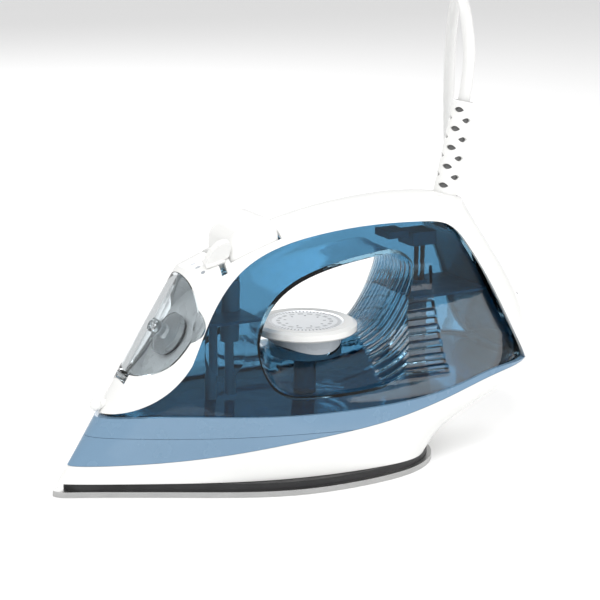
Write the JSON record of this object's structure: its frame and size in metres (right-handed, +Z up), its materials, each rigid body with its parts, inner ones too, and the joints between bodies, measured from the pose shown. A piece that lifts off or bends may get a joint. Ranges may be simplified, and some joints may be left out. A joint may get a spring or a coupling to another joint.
{
  "type": "steam iron",
  "caption": "Steam iron with a clear water tank, closed-loop handle, temperature dial under the grip, spray button, steam lever, filling door on the nose and a swivelling cord sleeve",
  "frame": {"origin": "on the ironing face of the soleplate, in the plane of symmetry, 106 mm behind the soleplate's tip", "axes": "+Z up from the ironing face, +X from the tip towards the heel, +Y to the iron's left seen from the heel; y = 0 is the plane of symmetry"},
  "size_m": [0.3266, 0.2435, 0.2572],
  "materials": {
    "white_shell": "warm white, glossy, moulded",
    "blue_shell": "light grey-blue, glossy, moulded",
    "tank_plastic": "clear teal-blue, glossy",
    "clear_plastic": "colourless clear, glossy",
    "dial_white": "white, glossy",
    "dial_silver": "silver insert with fine circular grain",
    "grey_plastic": "mid grey, moulded",
    "black_plastic": "black, heat resistant",
    "sole_metal": "grey metallic, smooth",
    "casting": "as cast",
    "steel": "plain steel",
    "brass_part": "turned",
    "rubber_part": "black, soft",
    "sleeve_plastic": "white, slightly soft",
    "cord_jacket": "white jacket, smooth",
    "lead_jacket": "insulated lead"
  },
  "bodies": {
    "housing": {"base_plate": "black_plastic", "cord_clamp": "black_plastic", "cord_coil": "cord_jacket", "cover_screw": "steel", "dial_collar": "grey_plastic", "door_pin": "steel", "filling_throat": "grey_plastic", "front_baffle": "grey_plastic", "handle_shell": "white_shell", "heat_shield": "black_plastic", "heater_casting": "casting", "heating_element": "steel", "lever_pin": "steel", "lower_band": "blue_shell", "mains_cord": "cord_jacket", "mains_leads": "lead_jacket", "needle_guide": "grey_plastic", "plug_body": "white_shell", "plug_pins": "brass_part", "pump_cylinder": "grey_plastic", "rear_baffle": "grey_plastic", "rear_cover": "white_shell", "skirt": "white_shell", "sole_screws": "steel", "soleplate": "sole_metal", "spindle_tube": "grey_plastic", "spray_hose": "rubber_part", "spray_nozzle": "white_shell", "steam_chamber_cover": "steel", "suction_tube": "grey_plastic", "swivel_socket": "black_plastic", "terminal_block": "black_plastic", "thermal_fuse": "lead_jacket", "thermostat": "brass_part", "upper_band": "blue_shell", "water_tank": "tank_plastic", "wire_duct": "grey_plastic"},
    "dial": {"dial_disc": "dial_white", "dial_cap": "dial_silver", "dial_spindle": "grey_plastic"},
    "steam_lever": {"steam_lever": "white_shell"},
    "steam_needle": {"steam_needle": "steel"},
    "spray_button": {"spray_button": "white_shell", "pump_plunger": "grey_plastic", "return_spring": "steel"},
    "filling_door": {"filling_door": "clear_plastic", "filler_stopper": "clear_plastic", "filler_seal": "rubber_part"},
    "cord_swivel": {"swivel_ball": "grey_plastic", "cord_sleeve": "sleeve_plastic"}
  },
  "joints": [
    {"name": "dial_turn", "type": "hinge", "parent": "housing", "child": "dial", "pos_m": [0.051, 0, 0.0757], "axis": [0, 0, 1], "range_deg": [-80, 210]},
    {"name": "lever_swing", "type": "hinge", "parent": "housing", "child": "steam_lever", "pos_m": [-0.0095, 0, 0.102], "axis": [1, 0, 0], "range_deg": [-62, 10]},
    {"name": "needle_lift", "type": "slide", "parent": "housing", "child": "steam_needle", "axis": [0, 0, 1], "range_m": [-0.0004, 0.002]},
    {"name": "button_press", "type": "slide", "parent": "housing", "child": "spray_button", "axis": [0, 0, -1], "range_m": [0, 0.004], "stiffness_N_per_m": 300, "springref_m": -0.003, "deforming": ["return_spring"]},
    {"name": "door_open", "type": "hinge", "parent": "housing", "child": "filling_door", "pos_m": [-0.06248, 0, 0.06317], "axis": [0, -1, 0], "range_deg": [0, 60]},
    {"name": "sleeve_turn", "type": "hinge", "parent": "housing", "child": "cord_swivel", "pos_m": [0.1415, 0, 0.13717], "axis": [0.2079, 0, 0.9781], "range_deg": [-175, 175]}
  ],
  "couplings": [
    {"joint": "needle_lift", "follows": "lever_swing", "m_per_rad": -0.0018}
  ]
}
